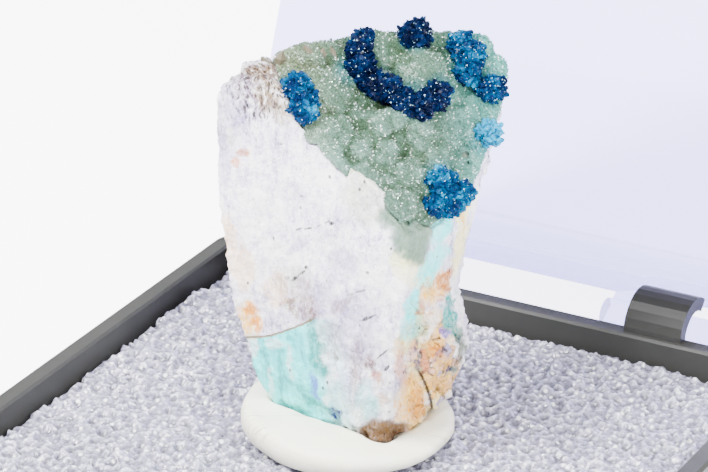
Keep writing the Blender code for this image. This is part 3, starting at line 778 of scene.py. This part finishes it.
def tray_finish():
    """Dark grey moulded plastic, faintly mottled and scuffed, with painted shade darkening its hinge side."""
    finish = Finish("dark_plastic")
    place = finish.place(False)
    mottle = finish.noise(place, 0.4, 4.0, 0.6)
    scuff = finish.noise(finish.vectors("MULTIPLY", place, (0.6, 6.0, 0.6)), 1.5, 5.0, 0.7)
    colour = finish.mix(mottle, paint(52, 52, 51), paint(62, 62, 60))
    colour = finish.mix(scuff.rise(0.62, 0.8) * 0.25, colour, paint(84, 84, 86))
    # Painted shade: towards the hinge side at the back, the colour is mixed to near black.
    away = finish.parts(place)[1]
    colour = finish.mix(away.rise(14.5, 16.5) * 0.9, colour, paint(24, 24, 24))
    relief = finish.bump(finish.noise(place, 8.0, 3.0), 0.00001, 0.4)
    return finish.set(Base_Color=colour, Roughness=scuff * 0.2 + 0.3, Normal=relief, Specular_IOR_Level=0.12)


def lid_finish():
    """Clear plastic with a faint violet cast, bending light so little that its cut edges stay pale."""
    finish = Finish("clear_plastic")
    return finish.set(Base_Color=paint(186, 184, 227), Roughness=0.25, IOR=1.02, Transmission_Weight=1.0)


def floor_finish():
    """A plain pale ground."""
    finish = Finish("pale_ground")
    place = finish.place(False)
    colour = finish.mix(finish.noise(place, 0.02, 2.0), paint(244, 244, 248), paint(248, 248, 251))
    return finish.set(
        Base_Color=colour, Roughness=0.6, Specular_IOR_Level=0.2, Emission_Color=colour, Emission_Strength=5.0
    )


def select_only(thing):
    bpy.ops.object.select_all(action="DESELECT")
    thing.select_set(True)
    bpy.context.view_layer.objects.active = thing


def apply_modifier(thing, kind, **settings):
    """Adds a modifier with these settings and applies it."""
    select_only(thing)
    modifier = thing.modifiers.new(kind.lower(), kind)
    for name, setting in settings.items():
        setattr(modifier, name, setting)
    bpy.ops.object.modifier_apply(modifier=modifier.name)


def merged_copy(node, name):
    """A copy of a CAD node's mesh as one closed skin."""
    select_only(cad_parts[node])
    bpy.ops.object.duplicate()
    made = bpy.context.view_layer.objects.active
    made.name = name
    made.parent = None
    for key in list(made.keys()):
        if key.startswith("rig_"):
            del made[key]
    made.data = made.data.copy()
    made.data.name = name
    made.data.materials.clear()
    select_only(made)
    bpy.ops.object.mode_set(mode="EDIT")
    bpy.ops.mesh.select_all(action="SELECT")
    bpy.ops.mesh.remove_doubles(threshold=0.000001)
    bpy.ops.object.mode_set(mode="OBJECT")
    return made


def remesh(thing, size):
    apply_modifier(thing, "REMESH", mode="VOXEL", voxel_size=size)


def texture(name, kind, scale, **settings):
    made = bpy.data.textures.new(name, kind)
    made.noise_scale = scale
    for setting, value in settings.items():
        setattr(made, setting, value)
    return made


def displace(thing, pattern, strength, level=0.5, group=""):
    settings = {"texture": pattern, "strength": strength, "mid_level": level, "vertex_group": group}
    apply_modifier(thing, "DISPLACE", texture_coords="LOCAL", **settings)


def finish_piece(piece, body, slot, material, *nodes):
    piece.data.materials.clear()
    piece.data.materials.append(material)
    for face in piece.data.polygons:
        face.material_index = 0
    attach(piece, body)
    if nodes:
        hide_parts(*nodes)


def store_hollow(thing, passes):
    """Stores how far each point lies in a hollow, from 0 on a crest to 1 in a pit."""
    shape = bmesh.new()
    shape.from_mesh(thing.data)
    layer = shape.verts.layers.float.new("hollow")
    places = {vertex.index: vertex.co.copy() for vertex in shape.verts}
    for step in range(passes):
        bmesh.ops.smooth_vert(shape, verts=shape.verts, factor=0.5, use_axis_x=True, use_axis_y=True, use_axis_z=True)
    shape.normal_update()
    shape.verts.ensure_lookup_table()
    depths = [(vertex.co - places[vertex.index]).dot(vertex.normal) for vertex in shape.verts]
    deepest = sorted(abs(depth) for depth in depths)[int(len(depths) * 0.97)] or 1.0
    for vertex, depth in zip(shape.verts, depths):
        vertex.co = places[vertex.index]
        vertex[layer] = min(1.0, max(0.0, 0.5 + 0.5 * depth / deepest))
    shape.to_mesh(thing.data)
    shape.free()


def display_place(point):
    """A point's place on the display side, right and height, and its depth, in millimetres."""
    seen = Matrix.Rotation(-SPECIMEN_TURN, 3, "Z") @ (point / MM - SPECIMEN_AT)
    height = seen.z * math.cos(FACING_DOWN) + seen.y * math.sin(FACING_DOWN)
    return seen.x, height, seen.y


def swell(thing, lumps, rise, base):
    """Raises round lumps over the faces that look up or forward."""
    mesh = thing.data
    ahead = Matrix.Rotation(SPECIMEN_TURN, 3, "Z") @ Vector((0, -math.cos(FACING_DOWN), math.sin(FACING_DOWN)))
    normals = [vertex.normal.copy() for vertex in mesh.vertices]
    for vertex, normal in zip(mesh.vertices, normals):
        if normal.dot(ahead) < 0.15 and normal.z < 0.3:
            continue
        right, height, depth = display_place(vertex.co)
        top = 0.0
        for x, y, radius in lumps:
            reach = math.hypot(right - x, height - y) / radius
            if reach < 1:
                top = max(top, math.sqrt(1 - reach * reach) * radius)
        vertex.co += normal * (top * rise + base) * MM
    mesh.update()


def weigh(thing, name, weight):
    """Adds a vertex group whose weights come from a function of the display place."""
    group = thing.vertex_groups.new(name=name)
    for vertex in thing.data.vertices:
        share = weight(*display_place(vertex.co))
        if share > 0:
            group.add([vertex.index], min(share, 1.0), "REPLACE")


def rise(value, low, high):
    share = min(1.0, max(0.0, (value - low) / (high - low)))
    return share * share * (3 - 2 * share)


def ruggedness(right, height, depth):
    """How rugged the stone is: most on its right flank, its foot and its speckled corner."""
    flank = rise(right, 2.3, 3.2) * rise(height, 8.0, 6.0)
    foot = rise(height, 1.4, 0.0)
    corner = rise(right, -2.4, -3.6) * rise(height, 14.6, 15.8) * 0.8
    back = rise(depth, 2.5, 4.5) * 0.8
    return max(flank, foot, corner, back, 0.12)


def paint_stains(thing):
    """Stores each stain's strength on the mesh, its outline made ragged by noise."""
    places = []
    for vertex in thing.data.vertices:
        point = vertex.co / MM
        right, height, depth = display_place(vertex.co)
        broad = noise.noise_vector(point * 1.3)
        small = noise.noise_vector(point * 4.5)
        places.append((right + broad.x * 0.28 + small.x * 0.14, height + broad.y * 0.28 + small.y * 0.14))
    rights, heights = numpy.array(places).T
    for name, colour, grained, marks in STAINS:
        strengths = numpy.zeros(len(places))
        for x, y, half_width, half_height, turn, strength in marks:
            cos, sin = math.cos(math.radians(turn)), math.sin(math.radians(turn))
            across = ((rights - x) * cos + (heights - y) * sin) / half_width
            along = ((heights - y) * cos - (rights - x) * sin) / half_height
            share = numpy.clip((1.44 - across * across - along * along) / 1.02, 0, 1)
            strengths = numpy.maximum(strengths, share * share * (3 - 2 * share) * strength)
        layer = thing.data.attributes.new(name, "FLOAT", "POINT")
        layer.data.foreach_set("value", strengths ** 0.7)


def crystal_model(name, width, depth, length, sunk):
    """A tabular crystal with a chisel end, drawn from a cube with its top extruded and drawn in."""
    bpy.ops.object.select_all(action="DESELECT")
    bpy.ops.mesh.primitive_cube_add(size=1, location=(0, 0, 0))
    made = bpy.context.view_layer.objects.active
    made.name = name
    bpy.ops.object.mode_set(mode="EDIT")
    bpy.ops.mesh.select_mode(type="FACE")
    bpy.ops.mesh.select_all(action="DESELECT")
    bpy.ops.object.mode_set(mode="OBJECT")
    for face in made.data.polygons:
        face.select = face.normal.z > 0.5
    bpy.ops.object.mode_set(mode="EDIT")
    bpy.ops.mesh.extrude_region_move(TRANSFORM_OT_translate={"value": (0, 0, 0.35)})
    bpy.ops.transform.resize(value=(0.7, 0.3, 1))
    bpy.ops.mesh.select_all(action="SELECT")
    bpy.ops.transform.resize(value=(width, depth, length))
    bpy.ops.transform.translate(value=(0, 0, 0.5 * length - sunk))
    bpy.ops.object.mode_set(mode="OBJECT")
    return made


def grain_model(name, sides):
    """A short pointed grain: a cone on a few sides."""
    bpy.ops.object.select_all(action="DESELECT")
    bpy.ops.mesh.primitive_cone_add(vertices=sides, radius1=0.5, radius2=0, depth=0.8, location=(0, 0, 0.2))
    made = bpy.context.view_layer.objects.active
    made.name = name
    bpy.ops.object.transform_apply(location=True, rotation=True, scale=True)
    return made


def add_rim_points(piece):
    """Joins six-sided crystal points to a piece, each drawn from a cylinder whose end is drawn in."""
    points = []
    for right, away, up, width, length, lean in RIM_POINTS:
        bpy.ops.object.select_all(action="DESELECT")
        bpy.ops.mesh.primitive_cylinder_add(vertices=6, radius=0.5 * width * MM, depth=length * MM)
        point = bpy.context.view_layer.objects.active
        bpy.ops.object.mode_set(mode="EDIT")
        bpy.ops.mesh.select_mode(type="FACE")
        bpy.ops.mesh.select_all(action="DESELECT")
        bpy.ops.object.mode_set(mode="OBJECT")
        for face in point.data.polygons:
            face.select = face.normal.z > 0.5
        bpy.ops.object.mode_set(mode="EDIT")
        bpy.ops.mesh.extrude_region_move(TRANSFORM_OT_translate={"value": (0, 0, 0.6 * width * MM)})
        bpy.ops.transform.resize(value=(0.1, 0.3, 1))
        bpy.ops.object.mode_set(mode="OBJECT")
        turn = Matrix.Rotation(SPECIMEN_TURN, 3, "Z")
        point.location = (turn @ Vector((right, away, up - 0.15)) + SPECIMEN_AT) * MM
        point.rotation_euler = (turn @ Matrix.Rotation(math.radians(lean), 3, "Y")).to_euler()
        bpy.ops.object.transform_apply(location=True, rotation=True, scale=True)
        points.append(point)
    select_only(piece)
    for point in points:
        point.select_set(True)
    bpy.ops.object.join()


def scatter(piece, model, density, sizes, stretch, lean, tones, seed, least_up, glints=1.0):
    """Grows copies of a crystal all over a piece's surface, by geometry nodes that are then applied."""
    if "tone" not in piece.data.attributes:
        layer = piece.data.attributes.new("tone", "FLOAT", "POINT")
        layer.data.foreach_set("value", [0.5 * (tones[0] + tones[1])] * len(layer.data))
    group = bpy.data.node_groups.new(f"{piece.name}_growth", "GeometryNodeTree")
    group.interface.new_socket("Geometry", in_out="INPUT", socket_type="NodeSocketGeometry")
    group.interface.new_socket("Geometry", in_out="OUTPUT", socket_type="NodeSocketGeometry")
    tree = Tree(group)
    surface = tree.value("NodeGroupInput", None, None, "Geometry")
    normal = tree.value("GeometryNodeInputNormal")
    split = tree.node("ShaderNodeSeparateXYZ", None, {"Vector": normal})
    facing_up = tree.value("FunctionNodeCompare", {"data_type": "FLOAT", "operation": "GREATER_THAN"}, {
        "A": Value(tree, split.outputs["Z"]),
        "B": least_up,
    })
    spread = tree.node("GeometryNodeDistributePointsOnFaces", None, {
        "Mesh": surface,
        "Selection": facing_up,
        "Density": density,
        "Seed": seed,
    })
    points = Value(tree, spread.outputs["Points"])
    leaning = tree.value("FunctionNodeRandomValue", {"data_type": "FLOAT_VECTOR"}, {
        "Min": (-lean, -lean, 0),
        "Max": (lean, lean, math.tau),
        "Seed": seed + 1,
    })
    turned = tree.value("FunctionNodeRotateRotation", {"rotation_space": "LOCAL"}, {
        "Rotation": Value(tree, spread.outputs["Rotation"]),
        "Rotate By": tree.value("FunctionNodeEulerToRotation", None, {"Euler": leaning}),
    })
    size = tree.value("FunctionNodeRandomValue", {"data_type": "FLOAT"}, {
        "Min": sizes[0],
        "Max": sizes[1],
        "Seed": seed + 2,
    })
    longer = tree.value("FunctionNodeRandomValue", {"data_type": "FLOAT"}, {
        "Min": stretch[0],
        "Max": stretch[1],
        "Seed": seed + 3,
    })
    scale = tree.value("ShaderNodeCombineXYZ", None, {"X": size, "Y": size, "Z": size * longer})
    source = tree.value("GeometryNodeObjectInfo", None, {"Object": model}, "Geometry")
    grown = tree.value("GeometryNodeInstanceOnPoints", None, {
        "Points": points,
        "Instance": source,
        "Rotation": turned,
        "Scale": scale,
    })
    tone = tree.value("FunctionNodeRandomValue", {"data_type": "FLOAT"}, {
        "Min": tones[0],
        "Max": tones[1],
        "Seed": seed + 4,
    })
    toned = tree.value("GeometryNodeStoreNamedAttribute", {"data_type": "FLOAT", "domain": "INSTANCE"}, {
        "Geometry": grown,
        "Name": "tone",
        "Value": tone,
    })
    glinting = tree.value("GeometryNodeStoreNamedAttribute", {"data_type": "FLOAT", "domain": "INSTANCE"}, {
        "Geometry": toned,
        "Name": "glint",
        "Value": tree.value("FunctionNodeRandomValue", {"data_type": "FLOAT"}, {"Max": glints, "Seed": seed + 5}),
    })
    real = tree.value("GeometryNodeRealizeInstances", None, {"Geometry": glinting})
    both = tree.node("GeometryNodeJoinGeometry")
    tree.tree.links.new(real.socket, both.inputs[0])
    tree.tree.links.new(surface.socket, both.inputs[0])
    tree.node("NodeGroupOutput", None, {"Geometry": Value(tree, both.outputs[0])})
    apply_modifier(piece, "NODES", node_group=group)


class StoneSettings(bpy.types.PropertyGroup):
    """Sizes of the stone's and the druse's relief."""

    detail: bpy.props.FloatProperty(
        name="Detail", description="Smallest step of the stone's surface", default=0.1 * MM, unit="LENGTH"
    )
    ledge_relief: bpy.props.FloatProperty(
        name="Ledge relief", description="Height of the stone's broken ledges", default=0.26 * MM, unit="LENGTH"
    )
    rugged_relief: bpy.props.FloatProperty(
        name="Rugged relief", description="Height of the crust on the right flank", default=0.5 * MM, unit="LENGTH"
    )
    grain_relief: bpy.props.FloatProperty(
        name="Grain relief", description="Height of the stone's rough grain", default=0.13 * MM, unit="LENGTH"
    )
    lump_rise: bpy.props.FloatProperty(
        name="Lump rise", description="Height of the druse's lumps as a share of their radius", default=0.27
    )


class CrystalSettings(bpy.types.PropertyGroup):
    """Sizes and numbers of the small crystals."""

    druse_density: bpy.props.FloatProperty(
        name="Druse density", description="Grains on each square metre of druse", default=150e6
    )
    druse_size: bpy.props.FloatProperty(
        name="Druse size", description="Width of a druse grain", default=0.13 * MM, unit="LENGTH"
    )
    blue_density: bpy.props.FloatProperty(
        name="Blue density", description="Crystals on each square metre of blue group", default=34e6
    )
    blue_size: bpy.props.FloatProperty(
        name="Blue size", description="Length of a blue crystal", default=0.34 * MM, unit="LENGTH"
    )


class FoamSettings(bpy.types.PropertyGroup):
    """Sizes of the foam's cells."""

    steps: bpy.props.IntProperty(name="Steps", description="Grid steps along a side of the foam", default=280)
    cell: bpy.props.FloatProperty(
        name="Cell", description="Width of a foam cell", default=0.5 * MM, unit="LENGTH"
    )
    depth: bpy.props.FloatProperty(
        name="Depth", description="Depth of a foam cell", default=0.5 * MM, unit="LENGTH"
    )


class StageSettings(bpy.types.PropertyGroup):
    """The camera and the lights."""

    lens: bpy.props.FloatProperty(name="Lens", description="Focal length", default=183.65, unit="CAMERA")
    soft_light: bpy.props.FloatProperty(name="Soft light", description="Power of the overhead light", default=3.3)
    back_light: bpy.props.FloatProperty(name="Back light", description="Power of the light behind", default=1.0)


class SPECIMEN_OT_stone(bpy.types.Operator):
    """Makes the pale matrix stone"""

    bl_idname = "specimen.stone"
    bl_label = "Stone"

    def execute(self, context):
        settings = context.scene.specimen_stone
        stone = merged_copy("matrix_rock", "stone")
        remesh(stone, settings.detail)
        apply_modifier(stone, "SMOOTH", iterations=3, factor=0.5)
        weigh(stone, "rugged", ruggedness)
        displace(stone, texture("ledges", "CLOUDS", 1.5 * MM, noise_depth=3), settings.ledge_relief)
        crust = texture("crust", "VORONOI", 0.75 * MM, distance_metric="DISTANCE")
        displace(stone, crust, -settings.rugged_relief, 0.45, "rugged")
        pits = texture("pits", "CLOUDS", 0.5 * MM, noise_depth=3)
        displace(stone, pits, settings.rugged_relief, 0.5, "rugged")
        displace(stone, texture("grain", "CLOUDS", 0.3 * MM, noise_depth=2), settings.grain_relief)
        paint_stains(stone)
        select_only(stone)
        bpy.ops.object.shade_flat()
        finish_piece(stone, "base", "pale_rock", rock_finish(), "matrix_rock")
        return {"FINISHED"}


class SPECIMEN_OT_druse(bpy.types.Operator):
    """Makes the druse over the stone's top"""

    bl_idname = "specimen.druse"
    bl_label = "Druse"

    def execute(self, context):
        stone = context.scene.specimen_stone
        crystals = context.scene.specimen_crystals
        druse = merged_copy("green_druse", "druse")
        remesh(druse, 0.11 * MM)
        apply_modifier(druse, "SMOOTH", iterations=8, factor=0.5)
        swell(druse, LUMPS, stone.lump_rise, -0.04)
        apply_modifier(druse, "SMOOTH", iterations=2, factor=0.5)
        displace(druse, texture("buds", "VORONOI", 0.7 * MM), -0.16 * MM, 0.5)
        store_hollow(druse, 40)
        grain = grain_model("druse_grain", 3)
        size = crystals.druse_size
        scatter(druse, grain, crystals.druse_density, (0.6 * size, 1.2 * size), (0.7, 1.3), 0.6, (0.3, 0.8), 3, -0.2)
        bpy.data.objects.remove(grain)
        add_rim_points(druse)
        select_only(druse)
        bpy.ops.object.shade_flat()
        finish_piece(druse, "base", "druse_green", druse_finish(), "green_druse")
        return {"FINISHED"}


class SPECIMEN_OT_blue_crystals(bpy.types.Operator):
    """Makes the blue crystal groups"""

    bl_idname = "specimen.blue_crystals"
    bl_label = "Blue crystals"

    def execute(self, context):
        settings = context.scene.specimen_crystals
        crystal = crystal_model("blue_crystal", 0.7, 0.42, 1.0, 0.45)
        grain = grain_model("blue_grain", 3)
        material = blue_finish()
        size = settings.blue_size
        for number, (node, tone) in enumerate(CRYSTAL_TONES.items()):
            group = merged_copy(node, node.replace("blue_crystals", "veszelyite"))
            tones = (tone - 0.14, tone + 0.14)
            seed = 40 + 10 * number
            sizes = (0.6 * size, size)
            scatter(group, crystal, settings.blue_density, sizes, (0.7, 1.1), 0.9, tones, seed, -2, 0.9)
            sizes = (0.2 * size, 0.34 * size)
            scatter(group, grain, settings.blue_density * 2, sizes, (0.7, 1.1), 0.9, tones, seed + 6, -2)
            finish_piece(group, "base", "crystal_blue", material, node)
        bpy.data.objects.remove(crystal)
        bpy.data.objects.remove(grain)
        return {"FINISHED"}


class SPECIMEN_OT_putty(bpy.types.Operator):
    """Makes the putty under the stone"""

    bl_idname = "specimen.putty"
    bl_label = "Putty"

    def execute(self, context):
        putty = merged_copy("putty", "mounting_putty")
        remesh(putty, 0.14 * MM)
        apply_modifier(putty, "SMOOTH", iterations=14, factor=0.6)
        displace(putty, texture("thumbed", "CLOUDS", 2.2 * MM, noise_depth=1), 0.16 * MM)
        select_only(putty)
        bpy.ops.object.shade_smooth()
        finish_piece(putty, "base", "cream_putty", putty_finish(), "putty")
        return {"FINISHED"}


class SPECIMEN_OT_foam(bpy.types.Operator):
    """Makes the foam pad with its open cells"""

    bl_idname = "specimen.foam"
    bl_label = "Foam"

    def execute(self, context):
        settings = context.scene.specimen_foam
        low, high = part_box("foam_pad")
        bpy.ops.object.select_all(action="DESELECT")
        bpy.ops.mesh.primitive_grid_add(
            x_subdivisions=settings.steps,
            y_subdivisions=settings.steps,
            size=high.x - low.x,
            location=(0, 0, SPECIMEN_AT.z * MM - 0.25 * MM),
        )
        foam = context.view_layer.objects.active
        foam.name = "foam_cells"
        bpy.ops.object.transform_apply(location=True, rotation=True, scale=True)
        displace(foam, texture("swell", "CLOUDS", 2.4 * MM, noise_depth=1), 0.5 * MM)
        displace(foam, texture("cells", "VORONOI", settings.cell), settings.depth, 0.5)
        displace(foam, texture("walls", "CLOUDS", 0.3 * MM, noise_depth=1), 0.3 * MM)
        store_hollow(foam, 8)
        select_only(foam)
        bpy.ops.object.mode_set(mode="EDIT")
        bpy.ops.mesh.select_all(action="SELECT")
        bpy.ops.mesh.region_to_loop()
        bpy.ops.mesh.extrude_region_move(TRANSFORM_OT_translate={"value": (0, 0, low.z - high.z + 1.0 * MM)})
        bpy.ops.mesh.edge_face_add()
        bpy.ops.object.mode_set(mode="OBJECT")
        bpy.ops.object.shade_smooth_by_angle(angle=math.radians(75))
        finish_piece(foam, "base", "white_foam", foam_finish(), "foam_pad")
        return {"FINISHED"}


class SPECIMEN_OT_box(bpy.types.Operator):
    """Makes the dark tray and the clear lid"""

    bl_idname = "specimen.box"
    bl_label = "Box"

    def execute(self, context):
        tray = merged_copy("box_base", "tray")
        lid = merged_copy("box_lid", "clear_lid")
        select_only(tray)
        bpy.ops.object.shade_flat()
        select_only(lid)
        bpy.ops.object.shade_smooth_by_angle(angle=math.radians(32))
        apply_modifier(lid, "WEIGHTED_NORMAL", keep_sharp=True)
        finish_piece(tray, "base", "dark_plastic", tray_finish(), "box_base")
        finish_piece(lid, "lid", "clear_plastic", lid_finish(), "box_lid")
        return {"FINISHED"}


class SPECIMEN_OT_stage(bpy.types.Operator):
    """Sets the ground, the lights and the camera"""

    bl_idname = "specimen.stage"
    bl_label = "Stage"

    def execute(self, context):
        settings = context.scene.specimen_stage
        bpy.ops.object.select_all(action="DESELECT")
        bpy.ops.mesh.primitive_plane_add(size=3, location=(0, 0, -0.02 * MM))
        ground = context.view_layer.objects.active
        ground.name = "ground"
        ground.data.materials.append(floor_finish())
        world = bpy.data.worlds.new("soft_room")
        context.scene.world = world
        world.use_nodes = True
        world.node_tree.nodes["Background"].inputs["Color"].default_value = (0.93, 0.94, 1.0, 1.0)
        world.node_tree.nodes["Background"].inputs["Strength"].default_value = 0.8
        self.add_light("key", (-0.10, -0.12, 0.26), (0, 0, 0.015), 0.14, settings.soft_light)
        self.add_light("fill", (0.24, -0.16, 0.16), (0, 0, 0.015), 0.16, settings.soft_light * 0.6)
        self.add_light("back", (-0.02, 0.26, 0.16), (0, 0, 0.02), 0.16, settings.back_light)
        self.add_light("glint", (0.06, -0.05, 0.30), (0, 0, 0.02), 0.02, 0.6)
        camera_data = bpy.data.cameras.new("camera")
        camera_data.lens = settings.lens
        camera_data.sensor_width = 36
        camera_data.clip_start = 0.005
        camera = bpy.data.objects.new("camera", camera_data)
        context.scene.collection.objects.link(camera)
        camera.location = (71.12 * MM, -129.32 * MM, 85.18 * MM)
        camera.rotation_euler = (math.pi / 2 - FACING_DOWN, 0, math.radians(28.68))
        context.scene.camera = camera
        return {"FINISHED"}

    def add_light(self, name, place, target, size, power):
        bpy.ops.object.light_add(type="AREA", location=place)
        light = bpy.context.view_layer.objects.active
        light.name = name
        light.data.size = size
        light.data.energy = power
        light.rotation_euler = (Vector(target) - Vector(place)).to_track_quat("-Z", "Y").to_euler()


class SPECIMEN_PT_panel(bpy.types.Panel):
    """Lists the specimen's pieces"""

    bl_label = "Specimen"
    bl_space_type = "VIEW_3D"
    bl_region_type = "UI"
    bl_category = "Specimen"

    def draw(self, context):
        for operator in OPERATORS:
            self.layout.operator(operator.bl_idname)
        for group in SETTINGS:
            settings = getattr(context.scene, group)
            for name in settings.bl_rna.properties.keys():
                if name not in ("rna_type", "name"):
                    self.layout.prop(settings, name)


SETTINGS = {
    "specimen_stone": StoneSettings,
    "specimen_crystals": CrystalSettings,
    "specimen_foam": FoamSettings,
    "specimen_stage": StageSettings,
}
OPERATORS = (
    SPECIMEN_OT_box,
    SPECIMEN_OT_foam,
    SPECIMEN_OT_putty,
    SPECIMEN_OT_stone,
    SPECIMEN_OT_druse,
    SPECIMEN_OT_blue_crystals,
    SPECIMEN_OT_stage,
)


def register():
    for group in (*SETTINGS.values(), *OPERATORS, SPECIMEN_PT_panel):
        bpy.utils.register_class(group)
    for name, group in SETTINGS.items():
        setattr(bpy.types.Scene, name, bpy.props.PointerProperty(type=group))


def unregister():
    for name in SETTINGS:
        delattr(bpy.types.Scene, name)
    for group in reversed((*SETTINGS.values(), *OPERATORS, SPECIMEN_PT_panel)):
        bpy.utils.unregister_class(group)


def main():
    register()
    for operator in OPERATORS:
        getattr(bpy.ops.specimen, operator.bl_idname.split(".")[1])()


if __name__ == "__main__":
    main()
